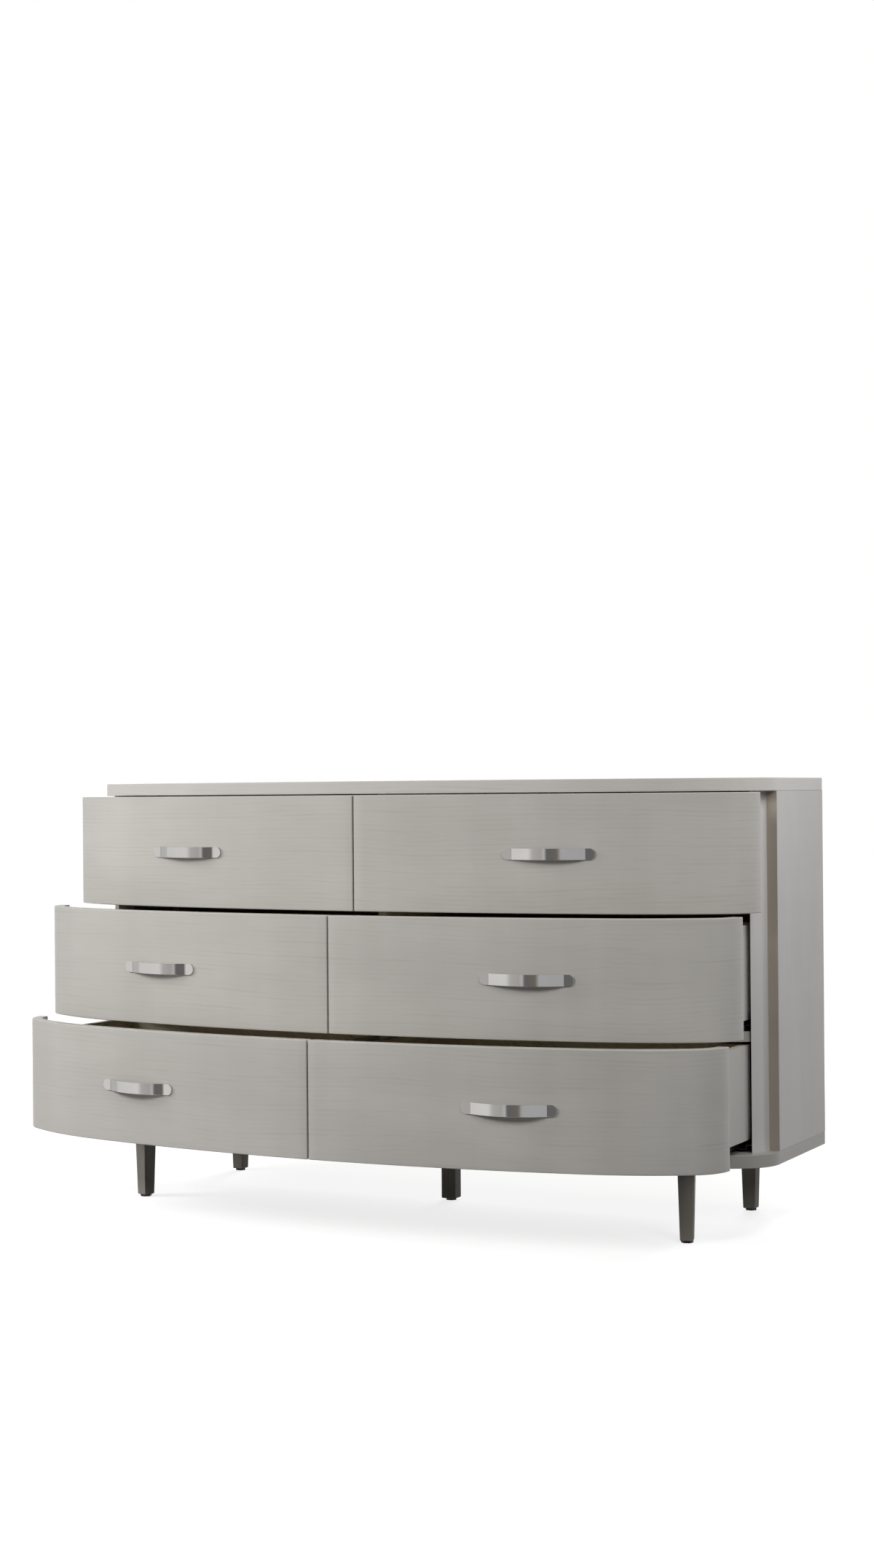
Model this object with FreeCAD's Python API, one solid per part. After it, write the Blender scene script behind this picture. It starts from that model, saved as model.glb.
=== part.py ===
import FreeCAD, Part
import math
import os

os.makedirs("parts", exist_ok=True)

# Bow-front dresser with six drawers in three rows of two.
# Lengths are millimetres, turns are degrees.
# The origin is on the floor under the centre foot, X to the right seen from the front,
# Y to the back, Z up.

# Case outline
case_width = 1500.0
case_height = 864.0
case_depth = 477.0
centre_foot_to_back = 160.0
slab_thickness = 25.0
leg_clear_height = 139.0
slab_edge_bevel = 1.2

# The front outline is three arcs that run into each other and then into the straight side.
# Each has turned so far, in degrees, at its share of half the width.
bow_turn = 11.5
bow_share = 0.699
shoulder_turn = 31.0
shoulder_share = 0.9453
side_turn = 90.0

# Upright boards
side_thickness = 20.0
post_thickness = 19.0
post_depth = 60.0
post_clearance = 1.5
rear_post_depth = 60.0
rear_post_from_back = 30.0
partition_thickness = 19.0
partition_setback = 28.0
back_thickness = 6.0
back_recess = 10.0
back_tongue = 7.5
groove_depth = 8.0
groove_clearance = 0.2

# Divider rail between the middle and the bottom drawers
rail_thickness = 19.0
rail_below_front = 1.0
rail_fit = 0.3

# Drawer fronts
front_thickness = 20.0
front_gap = 3.0
front_end_gap = 2.0
front_edge_bevel = 1.2
row_count = 3

# How far each row stands open as a share of the slide's length, bottom row first
row_opening_shares = [0.93, 0.66, 0.31]
row_names = ["bottom", "middle", "top"]

# Drawer boxes
box_side_gap = 11.0
box_board = 13.0
box_above_front_bottom = 19.5
box_below_front_top = 24.0
box_rear_from_back = 30.0
box_floor_lift = 13.0
box_floor_thickness = 9.0
box_groove_depth = 6.0
glue_line = 0.2

# Undermount slides, distances are from the wall of the opening and from the box underside
slide_behind_post = 3.5
slide_sheet = 1.5
slide_wall_flange_top = 6.0
slide_web_drop = 8.5
slide_step_from_wall = 14.0
slide_floor_drop = 16.5
slide_channel_from_wall = 27.0
slide_channel_width = 22.0
slide_channel_top_drop = 6.0
slide_cap_drop = 4.0
slide_play = 0.3

# Pulls
pull_place_share = 0.528
pull_length = 178.0
pull_width = 21.5
pull_strap = 3.5
pull_arch_span = 146.0
pull_rise = 19.0
pull_foot_radius = 16.0
pull_seat = 0.1

# Legs and glides
front_leg_from_side = 146.0
front_leg_setback = 0.3
front_leg_turn = 16.0
back_leg_from_side = 150.0
back_leg_setback = 0.5
leg_top = 32.0
leg_bottom = 25.0
leg_corner_cut = 1.6
leg_floor_gap = 4.4
centre_leg_width = 32.0
centre_leg_round = 4.0
glide_base_sides = 6
glide_base_width = 20.0
glide_base_height = 4.0
glide_stem_diameter = 8.0
glide_stem_length = 30.0
glide_bore_clearance = 0.3
glide_bore_depth = 36.0
leg_tenon_width = 14.0
leg_tenon_length = 12.0
leg_tenon_fit = 0.2

# Tongues that set the side panels and the partition into the slabs
tongue_thickness = 8.0
tongue_length = 8.0
tongue_stop = 25.0
tongue_fit = 0.2

# Values worked out from the sizes above
half_width = case_width / 2
back_y = centre_foot_to_back
front_y = back_y - case_depth
lower_slab_top = leg_clear_height + slab_thickness
upper_slab_bottom = case_height - slab_thickness
side_inner_x = half_width - side_thickness
opening_outer_x = side_inner_x - post_thickness
opening_inner_x = partition_thickness / 2
front_height = (upper_slab_bottom - lower_slab_top - front_gap * (row_count + 1)) / row_count
row_pitch = front_height + front_gap
back_front_y = back_y - back_recess - back_thickness
box_height = front_height - box_above_front_bottom - box_below_front_top
box_rear_y = back_y - box_rear_from_back
rear_post_rear_y = back_y - rear_post_from_back
slide_channel_end = slide_channel_from_wall + slide_channel_width
pull_from_centre = half_width * pull_place_share

# X of the drawer box sides, near is at the partition and far is at the post
near_side_outer_x = opening_inner_x + box_side_gap
near_side_inner_x = near_side_outer_x + box_board
far_side_outer_x = opening_outer_x - box_side_gap
far_side_inner_x = far_side_outer_x - box_board

# Levels of the divider rail, its top just under the middle drawer fronts
rail_top = lower_slab_top + front_gap + row_pitch - rail_below_front
rail_bottom = rail_top - rail_thickness

arc_turns = [math.radians(bow_turn), math.radians(shoulder_turn), math.radians(side_turn)]
arc_ends = [half_width * bow_share, half_width * shoulder_share, half_width]
arc_radii = []
for index in range(len(arc_turns)):
    reach = arc_ends[index] - (arc_ends[index - 1] if index else 0)
    rise = math.sin(arc_turns[index]) - (math.sin(arc_turns[index - 1]) if index else 0)
    arc_radii.append(reach / rise)
bow_radius = arc_radii[0]

# Digits kept of a sine, so that the last arc ends exactly where the straight side starts
sine_digits = 12


def point(x, y, z=0):
    return FreeCAD.Vector(x, y, z)


along_z = point(0, 0, 1)
along_y = point(0, 1, 0)
across_x = point(1, 0, 0)


def arc_centres():
    """Centres of the three outline arcs, each one on the last radius of the arc before it."""
    centres = [point(0, front_y + bow_radius)]
    for index in range(len(arc_radii) - 1):
        step = arc_radii[index] - arc_radii[index + 1]
        turn = arc_turns[index]
        reach = point(step * math.sin(turn), -step * math.cos(turn))
        centres.append(centres[index] + reach)
    return centres


centres = arc_centres()
corner_y = centres[-1].y


def outline_point(index, inset, turn):
    """Point of one outline arc, moved inwards by the inset, where the outline has that turn."""
    radius = arc_radii[index] - inset
    return centres[index] + point(radius * math.sin(turn), -radius * math.cos(turn))


def turn_at_x(inset, x):
    """Turn of the outline where the inset curve crosses the given X.

    Each arc is the steepest one over its own stretch.
    """
    sines = [(x - centre.x) / (radius - inset) for centre, radius in zip(centres, arc_radii)]
    return math.asin(round(min(max(sines), 1), sine_digits))


def y_at_x(inset, x):
    """Y of the inset curve at the given X."""
    turn = turn_at_x(inset, x)
    index = sum(turn > arc_end for arc_end in arc_turns[:-1])
    return outline_point(index, inset, turn).y


# Y of the corner post's front and rear, of the notches' meeting and of the slides' front
post_front_y = y_at_x(front_thickness + post_clearance, opening_outer_x)
post_rear_y = post_front_y + post_depth
halving_y = (front_y + partition_setback + post_rear_y) / 2
slide_front_y = post_front_y + slide_behind_post
slide_length = rear_post_rear_y - slide_front_y
row_openings = [slide_length * share for share in row_opening_shares]


def x_on_corner(inset, y):
    """X where the inset corner arc crosses the given Y."""
    radius = arc_radii[-1] - inset
    return centres[-1].x + math.sqrt(radius ** 2 - (y - centres[-1].y) ** 2)


def bow_edges(inset, x_from, x_to):
    """Edges of the inset outline from one X to a larger one, on the right-hand side."""
    first = turn_at_x(inset, x_from)
    last = turn_at_x(inset, x_to)
    edges = []
    arc_start = 0
    for index in range(len(arc_radii)):
        start = max(first, arc_start)
        end = min(last, arc_turns[index])
        if end > start:
            middle = (start + end) / 2
            ends = [outline_point(index, inset, turn) for turn in (start, middle, end)]
            edges.append(Part.Arc(ends[0], ends[1], ends[2]).toShape())
        arc_start = arc_turns[index]
    return edges


def prism(edges, bottom, height):
    """Solid over a closed plan outline, standing on the given level."""
    ordered = Part.sortEdges(edges)[0]
    face = Part.Face(Part.Wire(ordered))
    solid = face.extrude(point(0, 0, height))
    solid.translate(point(0, 0, bottom))
    return solid


def line(start, end):
    return Part.makeLine(start, end)


def bow_band(outer_inset, inner_inset, x_from, x_to, bottom, height):
    """Bent board between two inset curves, with ends square to X."""
    outer = bow_edges(outer_inset, x_from, x_to)
    inner = bow_edges(inner_inset, x_from, x_to)
    start = line(point(x_from, y_at_x(outer_inset, x_from)), point(x_from, y_at_x(inner_inset, x_from)))
    end = line(point(x_to, y_at_x(outer_inset, x_to)), point(x_to, y_at_x(inner_inset, x_to)))
    return prism(outer + inner + [start, end], bottom, height)


def bow_panel(inset, x_from, x_to, rear_y, bottom, height):
    """Board with a bowed front edge and a straight rear edge."""
    front = bow_edges(inset, x_from, x_to)
    left = line(point(x_from, y_at_x(inset, x_from)), point(x_from, rear_y))
    rear = line(point(x_from, rear_y), point(x_to, rear_y))
    right = line(point(x_to, rear_y), point(x_to, y_at_x(inset, x_to)))
    return prism(front + [left, rear, right], bottom, height)


def block(x_from, x_to, y_from, y_to, z_from, z_to):
    return Part.makeBox(x_to - x_from, y_to - y_from, z_to - z_from, point(x_from, y_from, z_from))


def upright_cylinder(diameter, z_from, z_to):
    return Part.makeCylinder(diameter / 2, z_to - z_from, point(0, 0, z_from), along_z)


def mirrored(shape):
    return shape.mirror(point(0, 0), across_x)


def both_sides(shape):
    return [shape, mirrored(shape)]


def save(name, solids):
    """Write one named piece, or several loose solids of one kind, as a STEP file."""
    shape = solids[0] if len(solids) == 1 else Part.makeCompound(solids)
    shape.exportStep("parts/" + name + ".step")


def foot_places():
    """Name, X, Y and turn of every leg, the centre one last."""
    front_x = half_width - front_leg_from_side
    front_leg_y = y_at_x(leg_top / 2 + front_leg_setback, front_x)
    back_x = half_width - back_leg_from_side
    back_leg_y = back_y - leg_top / 2 - back_leg_setback
    return [
        ("front_right", front_x, front_leg_y, front_leg_turn),
        ("front_left", -front_x, front_leg_y, -front_leg_turn),
        ("back_right", back_x, back_leg_y, 0),
        ("back_left", -back_x, back_leg_y, 0),
        ("centre", 0, 0, 0),
    ]


def placed(shape, x, y, turn):
    """A shape drawn around the origin, turned and moved to its place on the floor plan."""
    moved = shape.copy()
    moved.rotate(point(0, 0), along_z, turn)
    moved.translate(point(x, y))
    return moved


def tongue(x, y_from, y_to, level, grow):
    """Tongue on one end of an upright, or the groove for it when grown by the clearance."""
    half = tongue_thickness / 2 + grow
    reach = tongue_length + grow
    low = level - reach if level == lower_slab_top else level
    return block(x - half, x + half, y_from - grow, y_to + grow, low, low + reach)


def side_tongue(level, grow):
    """Tongue of the right-hand side panel."""
    side_x = half_width - side_thickness / 2
    return tongue(side_x, corner_y + tongue_stop, back_front_y - tongue_stop, level, grow)


def partition_tongue(level, grow):
    partition_front = front_y + partition_setback
    return tongue(0, partition_front + tongue_stop, back_front_y - tongue_stop, level, grow)


def slab_grooves(level):
    """Grooves of one slab for the tongues of the three uprights."""
    return both_sides(side_tongue(level, tongue_fit)) + [partition_tongue(level, tongue_fit)]


def slab_blank(bottom):
    """Slab with the bowed outline and eased long edges."""
    front = bow_edges(0, 0, half_width)
    left_front = [mirrored(edge) for edge in front]
    right = line(point(half_width, corner_y), point(half_width, back_y))
    rear = line(point(half_width, back_y), point(-half_width, back_y))
    left = line(point(-half_width, back_y), point(-half_width, corner_y))
    slab = prism(front + left_front + [right, rear, left], bottom, slab_thickness)
    flat_edges = [edge for edge in slab.Edges if edge.BoundBox.ZLength < slab_edge_bevel]
    return slab.makeChamfer(slab_edge_bevel, flat_edges)


def back_groove(z_from, z_to):
    reach = side_inner_x + groove_depth
    y_from = back_front_y - groove_clearance
    y_to = back_front_y + back_thickness + groove_clearance
    return block(-reach, reach, y_from, y_to, z_from, z_to)


def leg_mortises():
    """Square mortises in the bottom slab for the tenons of the legs."""
    half = leg_tenon_width / 2 + leg_tenon_fit
    top = leg_clear_height + leg_tenon_length + leg_tenon_fit
    mortise = block(-half, half, -half, half, leg_clear_height, top)
    return [placed(mortise, x, y, turn) for name, x, y, turn in foot_places()]


def top_slab():
    slab = slab_blank(upper_slab_bottom)
    slab = slab.cut(back_groove(upper_slab_bottom, upper_slab_bottom + groove_depth))
    return slab.cut(slab_grooves(upper_slab_bottom))


def bottom_slab():
    slab = slab_blank(leg_clear_height)
    slab = slab.cut(back_groove(lower_slab_top - groove_depth, lower_slab_top))
    slab = slab.cut(slab_grooves(lower_slab_top))
    return slab.cut(leg_mortises())


def side_panel():
    panel = block(side_inner_x, half_width, corner_y, back_y, lower_slab_top, upper_slab_bottom)
    panel = panel.cut(back_groove(lower_slab_top, upper_slab_bottom))
    return panel.fuse([side_tongue(lower_slab_top, 0), side_tongue(upper_slab_bottom, 0)])


def corner_post():
    """Post behind the drawer ends, with a face that runs parallel to their bent inside."""
    inset = front_thickness + post_clearance
    step_x = x_on_corner(inset, corner_y)
    face = bow_edges(inset, opening_outer_x, step_x)
    corners = [
        point(step_x, corner_y),
        point(side_inner_x, corner_y),
        point(side_inner_x, post_rear_y),
        point(opening_outer_x, post_rear_y),
        point(opening_outer_x, post_front_y),
    ]
    straight = [line(start, end) for start, end in zip(corners, corners[1:])]
    return prism(face + straight, lower_slab_top, upper_slab_bottom - lower_slab_top)


def rear_post():
    return block(opening_outer_x, side_inner_x, rear_post_rear_y - rear_post_depth, rear_post_rear_y,
                 lower_slab_top, upper_slab_bottom)


def divider_rail():
    """Bowed rail with a notch from the rear for the partition."""
    right = bow_panel(partition_setback, 0, opening_outer_x, post_rear_y, rail_bottom, rail_thickness)
    rail = right.fuse(mirrored(right)).removeSplitter()
    half = opening_inner_x + rail_fit
    notch = block(-half, half, halving_y - rail_fit, post_rear_y + rail_fit, rail_bottom, rail_top)
    return rail.cut(notch)


def centre_partition():
    """Partition with a notch from the front that takes the front half of the rail."""
    partition_front = front_y + partition_setback
    panel = block(-opening_inner_x, opening_inner_x, partition_front, back_front_y - groove_clearance,
                  lower_slab_top, upper_slab_bottom)
    notch = block(-opening_inner_x, opening_inner_x, partition_front, halving_y + rail_fit,
                  rail_bottom - rail_fit, rail_top + rail_fit)
    panel = panel.cut(notch)
    return panel.fuse([partition_tongue(lower_slab_top, 0), partition_tongue(upper_slab_bottom, 0)])


def back_panel():
    reach = side_inner_x + back_tongue
    return block(-reach, reach, back_front_y, back_front_y + back_thickness,
                 lower_slab_top - back_tongue, upper_slab_bottom + back_tongue)


def row_bottom(row):
    """Level of the lower edge of the drawer fronts of a row, counted from the bottom."""
    return lower_slab_top + front_gap + row * row_pitch


def pull_frame(row, shape):
    """Turn a shape drawn at the pull's own centre to its place on a closed drawer front."""
    turn = turn_at_x(0, pull_from_centre)
    shape.rotate(point(0, 0), along_z, math.degrees(turn))
    seat = outline_point(0, 0, turn)
    middle = row_bottom(row) + front_height / 2
    shape.translate(point(seat.x, seat.y, middle))
    return shape


def front_drop(radius, reach):
    """How far the bent face falls back at a distance from the pull's centre."""
    return radius - math.sqrt(radius ** 2 - reach ** 2)


def drawer_front(row):
    """Bent front, its end closing against the front edge of the side panel."""
    bottom = row_bottom(row)
    end_y = corner_y - front_end_gap
    x_start = front_gap / 2
    outer_end = x_on_corner(0, end_y)
    inner_end = x_on_corner(front_thickness, end_y)
    outer = bow_edges(0, x_start, outer_end)
    inner = bow_edges(front_thickness, x_start, inner_end)
    middle_end = line(point(x_start, y_at_x(0, x_start)), point(x_start, y_at_x(front_thickness, x_start)))
    side_end = line(point(outer_end, end_y), point(inner_end, end_y))
    front = prism(outer + inner + [middle_end, side_end], bottom, front_height)
    front = ease_outside(front)
    return front.cut(floor_groove(row))


def ease_outside(front):
    """Bevel the edges around the outside face of a front."""
    chosen = []
    for edge in front.Edges:
        ends = [vertex.Point for vertex in edge.Vertexes]
        outside = [abs(end.y - y_at_x(0, end.x)) < front_edge_bevel for end in ends]
        if all(outside):
            chosen.append(edge)
    return front.makeChamfer(front_edge_bevel, chosen)


def box_underside(row):
    return row_bottom(row) + box_above_front_bottom


def floor_underside(row):
    return box_underside(row) + box_floor_lift


def floor_groove(row):
    """Groove in a drawer front for the front edge of the drawer floor."""
    return bow_band(front_thickness - box_groove_depth, front_thickness + box_board,
                    near_side_outer_x, far_side_outer_x, floor_underside(row) - groove_clearance,
                    box_floor_thickness + groove_clearance * 2)


def drawer_box(row):
    """Two sides and a back, the sides grooved for the floor."""
    underside = box_underside(row)
    inset = front_thickness + glue_line
    near_side = bow_panel(inset, near_side_outer_x, near_side_inner_x, box_rear_y, underside, box_height)
    far_side = bow_panel(inset, far_side_inner_x, far_side_outer_x, box_rear_y, underside, box_height)
    groove = bow_panel(front_thickness, near_side_inner_x - box_groove_depth,
                       far_side_inner_x + box_groove_depth, box_rear_y,
                       floor_underside(row) - groove_clearance,
                       box_floor_thickness + groove_clearance * 2)
    back_bottom = floor_underside(row) + box_floor_thickness + groove_clearance
    back = block(near_side_inner_x + glue_line, far_side_inner_x - glue_line,
                 box_rear_y - box_board, box_rear_y, back_bottom, underside + box_height)
    return [near_side.cut(groove), far_side.cut(groove), back]


def drawer_floor(row):
    reach = box_groove_depth - groove_clearance
    return bow_panel(front_thickness - reach, near_side_inner_x - reach, far_side_inner_x + reach,
                     box_rear_y, floor_underside(row), box_floor_thickness)


def slide_piece(row, from_wall, to_wall, low, high):
    """Long strip of a slide, given from the opening wall and from the box underside."""
    underside = box_underside(row)
    return block(from_wall, to_wall, slide_front_y, slide_front_y + slide_length,
                 underside + low, underside + high)


def cabinet_member(row):
    """Bent sheet fixed to the wall, with a channel below the drawer floor."""
    flange = slide_piece(row, 0, slide_sheet, -slide_web_drop - slide_sheet, slide_wall_flange_top)
    web = slide_piece(row, 0, slide_step_from_wall, -slide_web_drop - slide_sheet, -slide_web_drop)
    step = slide_piece(row, slide_step_from_wall - slide_sheet, slide_step_from_wall,
                       -slide_floor_drop - slide_sheet, -slide_web_drop)
    floor = slide_piece(row, slide_step_from_wall - slide_sheet, slide_channel_end,
                        -slide_floor_drop - slide_sheet, -slide_floor_drop)
    near_lip = slide_piece(row, slide_channel_from_wall, slide_channel_from_wall + slide_sheet,
                           -slide_floor_drop, -slide_channel_top_drop)
    far_lip = slide_piece(row, slide_channel_end - slide_sheet, slide_channel_end,
                          -slide_floor_drop, -slide_channel_top_drop)
    return flange.fuse([web, step, floor, near_lip, far_lip]).removeSplitter()


def middle_member(row):
    """Tube that runs in the channel of the cabinet member and under the drawer member."""
    near = slide_channel_from_wall + slide_sheet + slide_play
    far = slide_channel_end - slide_sheet - slide_play
    low = -slide_floor_drop + slide_play
    high = box_floor_lift - slide_sheet - slide_play
    tube = slide_piece(row, near, far, low, high)
    hollow = slide_piece(row, near + slide_sheet, far - slide_sheet, low + slide_sheet, high - slide_sheet)
    return tube.cut(hollow)


def drawer_member(row):
    """Cap that is fixed under the drawer floor and runs on the middle member."""
    cap = slide_piece(row, slide_channel_from_wall, slide_channel_end, -slide_cap_drop, box_floor_lift)
    hollow = slide_piece(row, slide_channel_from_wall + slide_sheet, slide_channel_end - slide_sheet,
                         -slide_cap_drop, box_floor_lift - slide_sheet)
    return cap.cut(hollow)


def slide_pair(member):
    """The same member at the partition and at the post of a right-hand drawer."""
    at_partition = member.copy()
    at_partition.translate(point(opening_inner_x, 0))
    at_post = mirrored(member)
    at_post.translate(point(opening_outer_x, 0))
    return [at_partition, at_post]


def strap_face(lift):
    """Edges of one face of the strap, lying along X with the outside towards -Y.

    Flat tab, foot arc, crown arc, foot arc and flat tab, each tangent to the next.
    """
    half_span = pull_arch_span / 2
    half_length = pull_length / 2
    turn = 2 * math.atan(pull_rise / half_span)
    foot_radius = pull_foot_radius - lift
    crown_radius = half_span / math.sin(turn) - pull_foot_radius + lift
    seat_y = front_drop(bow_radius, half_span) - pull_seat
    tab_y = front_drop(bow_radius, half_length) - pull_seat
    foot_centre = point(half_span, seat_y - pull_foot_radius)
    crown_centre = point(0, seat_y - pull_rise + crown_radius - lift)
    tab_end = point(half_length, tab_y - lift)
    foot_start = point(half_span, seat_y - lift)
    foot_middle = arc_point(foot_centre, foot_radius, -turn / 2, 1)
    foot_end = arc_point(foot_centre, foot_radius, -turn, 1)
    crown_top = arc_point(crown_centre, crown_radius, 0, -1)
    tab = line(tab_end, foot_start)
    foot = Part.Arc(foot_start, foot_middle, foot_end).toShape()
    crown = Part.Arc(foot_end, crown_top, point(-foot_end.x, foot_end.y)).toShape()
    return [tab, foot, crown, mirrored(foot), mirrored(tab)]


def arc_point(centre, radius, turn, side):
    """Point on a circle, turned from straight back (side 1) or straight ahead (side -1)."""
    return centre + point(radius * math.sin(turn), side * radius * math.cos(turn))


def pull(row):
    """Arched strap with flat tabs and fully rounded ends."""
    half_length = pull_length / 2
    tab_y = front_drop(bow_radius, half_length) - pull_seat
    end = line(point(half_length, tab_y), point(half_length, tab_y - pull_strap))
    edges = strap_face(0) + strap_face(pull_strap) + both_sides(end)
    strap = prism(edges, -pull_width / 2, pull_width)
    straight_half = (pull_length - pull_width) / 2
    outline = block(-straight_half, straight_half, -pull_length, pull_length, -pull_width / 2, pull_width / 2)
    for side in (-1, 1):
        round_end = Part.makeCylinder(pull_width / 2, pull_length * 2,
                                      point(side * straight_half, -pull_length), along_y)
        outline = outline.fuse(round_end)
    return pull_frame(row, strap.common(outline.removeSplitter()))


def corner_leg():
    """Square leg that narrows to the floor, with its long edges cut off."""
    low = leg_bottom / 2
    high = leg_top / 2
    leg = Part.makeWedge(-low, leg_floor_gap, -low, -high, -high, low, leg_clear_height, low, high, high)
    leg.rotate(point(0, 0), across_x, 90)
    long_edges = [edge for edge in leg.Edges if edge.BoundBox.ZLength > leg_top]
    return leg.makeChamfer(leg_corner_cut, long_edges)


def centre_leg():
    """Straight leg with rounded corners."""
    half = centre_leg_width / 2
    leg = block(-half, half, -half, half, leg_floor_gap, leg_clear_height)
    long_edges = [edge for edge in leg.Edges if edge.BoundBox.ZLength > centre_leg_width]
    return leg.makeFillet(centre_leg_round, long_edges)


def fitted_leg(leg):
    """A leg with its tenon on top and the bore for the glide below."""
    half = leg_tenon_width / 2
    tenon_top = leg_clear_height + leg_tenon_length
    tenon = block(-half, half, -half, half, leg_clear_height, tenon_top)
    bore = upright_cylinder(glide_stem_diameter + glide_bore_clearance * 2,
                            leg_floor_gap, leg_floor_gap + glide_bore_depth)
    return leg.fuse(tenon).cut(bore)


def glide():
    """Levelling glide, a six-sided base on a stem that runs into the leg."""
    corner_reach = glide_base_width / 2 / math.cos(math.pi / glide_base_sides)
    turns = [math.tau * corner / glide_base_sides for corner in range(glide_base_sides + 1)]
    corners = [point(math.cos(turn), math.sin(turn)) * corner_reach for turn in turns]
    base = Part.Face(Part.makePolygon(corners)).extrude(point(0, 0, glide_base_height))
    stem = upright_cylinder(glide_stem_diameter, glide_base_height / 2, glide_base_height + glide_stem_length)
    return base.fuse(stem).removeSplitter()


def opened(shape, amount):
    """The shape moved forward by the amount its drawer stands open."""
    moved = shape.copy()
    moved.translate(point(0, -amount))
    return moved


def save_pair(base_name, solids, opening):
    """Save the right-hand solids and their mirror image for the left-hand drawer."""
    moved = [opened(solid, opening) for solid in solids]
    save(base_name.replace("SIDE", "right"), moved)
    save(base_name.replace("SIDE", "left"), [mirrored(solid) for solid in moved])


def build_case():
    save("top_slab", [top_slab()])
    save("bottom_slab", [bottom_slab()])
    side = both_sides(side_panel())
    save("side_panel_right", [side[0]])
    save("side_panel_left", [side[1]])
    post = both_sides(corner_post())
    save("corner_post_right", [post[0]])
    save("corner_post_left", [post[1]])
    save("rear_posts", both_sides(rear_post()))
    save("centre_partition", [centre_partition()])
    save("divider_rail", [divider_rail()])
    save("back_panel", [back_panel()])


def build_feet():
    for name, x, y, turn in foot_places():
        leg = centre_leg() if name == "centre" else corner_leg()
        save("leg_" + name, [placed(fitted_leg(leg), x, y, turn)])
        save("glide_" + name, [placed(glide(), x, y, turn)])


def build_drawers():
    fixed_members = []
    for row in range(row_count):
        opening = row_openings[row]
        prefix = row_names[row] + "_SIDE_"
        save_pair(prefix + "front", [drawer_front(row)], opening)
        save_pair(prefix + "box", drawer_box(row), opening)
        save_pair(prefix + "floor", [drawer_floor(row)], opening)
        save_pair(prefix + "pull", [pull(row)], opening)
        save_pair(prefix + "drawer_slides", slide_pair(drawer_member(row)), opening)
        save_pair(prefix + "middle_slides", slide_pair(middle_member(row)), opening / 2)
        for member in slide_pair(cabinet_member(row)):
            fixed_members = fixed_members + both_sides(member)
    save("cabinet_slides", fixed_members)


build_case()
build_feet()
build_drawers()
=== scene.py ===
import math

import bpy
import numpy as np
from mathutils import Matrix, Vector


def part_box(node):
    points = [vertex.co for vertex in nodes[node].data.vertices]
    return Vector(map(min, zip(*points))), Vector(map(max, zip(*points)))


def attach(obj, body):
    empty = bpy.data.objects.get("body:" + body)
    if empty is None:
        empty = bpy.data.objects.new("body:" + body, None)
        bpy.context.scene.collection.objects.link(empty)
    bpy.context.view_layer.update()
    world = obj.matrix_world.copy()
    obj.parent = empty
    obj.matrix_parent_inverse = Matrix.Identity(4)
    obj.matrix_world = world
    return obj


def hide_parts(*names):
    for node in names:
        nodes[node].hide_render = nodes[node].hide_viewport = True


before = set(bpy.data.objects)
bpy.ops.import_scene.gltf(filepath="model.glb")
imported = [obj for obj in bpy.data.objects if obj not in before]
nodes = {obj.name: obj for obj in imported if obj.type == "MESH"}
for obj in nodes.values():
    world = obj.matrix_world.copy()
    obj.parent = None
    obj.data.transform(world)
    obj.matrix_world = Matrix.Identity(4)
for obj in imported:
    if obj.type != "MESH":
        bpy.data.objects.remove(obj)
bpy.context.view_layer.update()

mm = 0.001
rows = ("bottom", "middle", "top")
sides = {"right": 1, "left": -1}
drawers = [(row, side, sign) for row in rows for side, sign in sides.items()]
print("frame loaded,", len(nodes), "nodes")


# The bowed outline, the same three arcs as the case: how far each has turned, in degrees,
# and at which share of half the width it ends.
outline = {
    "turns": (11.5, 31.0, 90.0),
    "shares": (0.699, 0.9453, 1.0),
    "samples": (26, 22, 34),
}

slabLow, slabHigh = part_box("top_slab")
baseLow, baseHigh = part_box("bottom_slab")
halfWidth = slabHigh.x
frontY = slabLow.y
backY = slabHigh.y

arcTurns = np.radians(outline["turns"])
arcEnds = halfWidth * np.array(outline["shares"])
arcRadii = np.diff(arcEnds, prepend=0) / np.diff(np.sin(arcTurns), prepend=0)
arcCentres = [np.array([0, frontY + arcRadii[0]])]
for index in range(2):
    step = arcRadii[index] - arcRadii[index + 1]
    aim = np.array([np.sin(arcTurns[index]), -np.cos(arcTurns[index])])
    arcCentres.append(arcCentres[-1] + step * aim)
arcCentres = np.array(arcCentres)
cornerY = arcCentres[2][1]


def radiusAt(turns):
    # The radius of the arc that holds each turn.
    return arcRadii[np.searchsorted(arcTurns[:-1], turns)]


def bowPoints(inset, turns):
    # Point on the outline moved inwards: arc centre plus (radius - inset) times
    # (sin turn, -cos turn).
    turns = np.asarray(turns, float)
    reach = radiusAt(turns) - inset
    aim = np.stack([np.sin(turns), -np.cos(turns)], -1)
    return arcCentres[np.searchsorted(arcTurns[:-1], turns)] + reach[..., None] * aim


def bowTurn(x):
    # The outline's turn at an X: the arc that is steepest there holds it.
    sines = (x - arcCentres[:, 0]) / arcRadii
    return math.asin(min(1.0, sines.max()))


def bowTurns(first, last):
    # Turns from first to last, dense enough on each arc, with the arcs' joints kept.
    edges = [0.0, *arcTurns]
    runs = []
    for index, count in enumerate(outline["samples"]):
        low, high = max(first, edges[index]), min(last, edges[index + 1])
        if high > low:
            runs.append(np.linspace(low, high, count + 1)[:-1])
    return np.append(np.concatenate(runs), last)


# Meshes from rings of points

# The steps of every rounded edge. A piece's hold is how far beyond the rounding the next point
# lies on the flat.
quarterTurn = np.linspace(0, math.pi / 2, 5)


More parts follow.
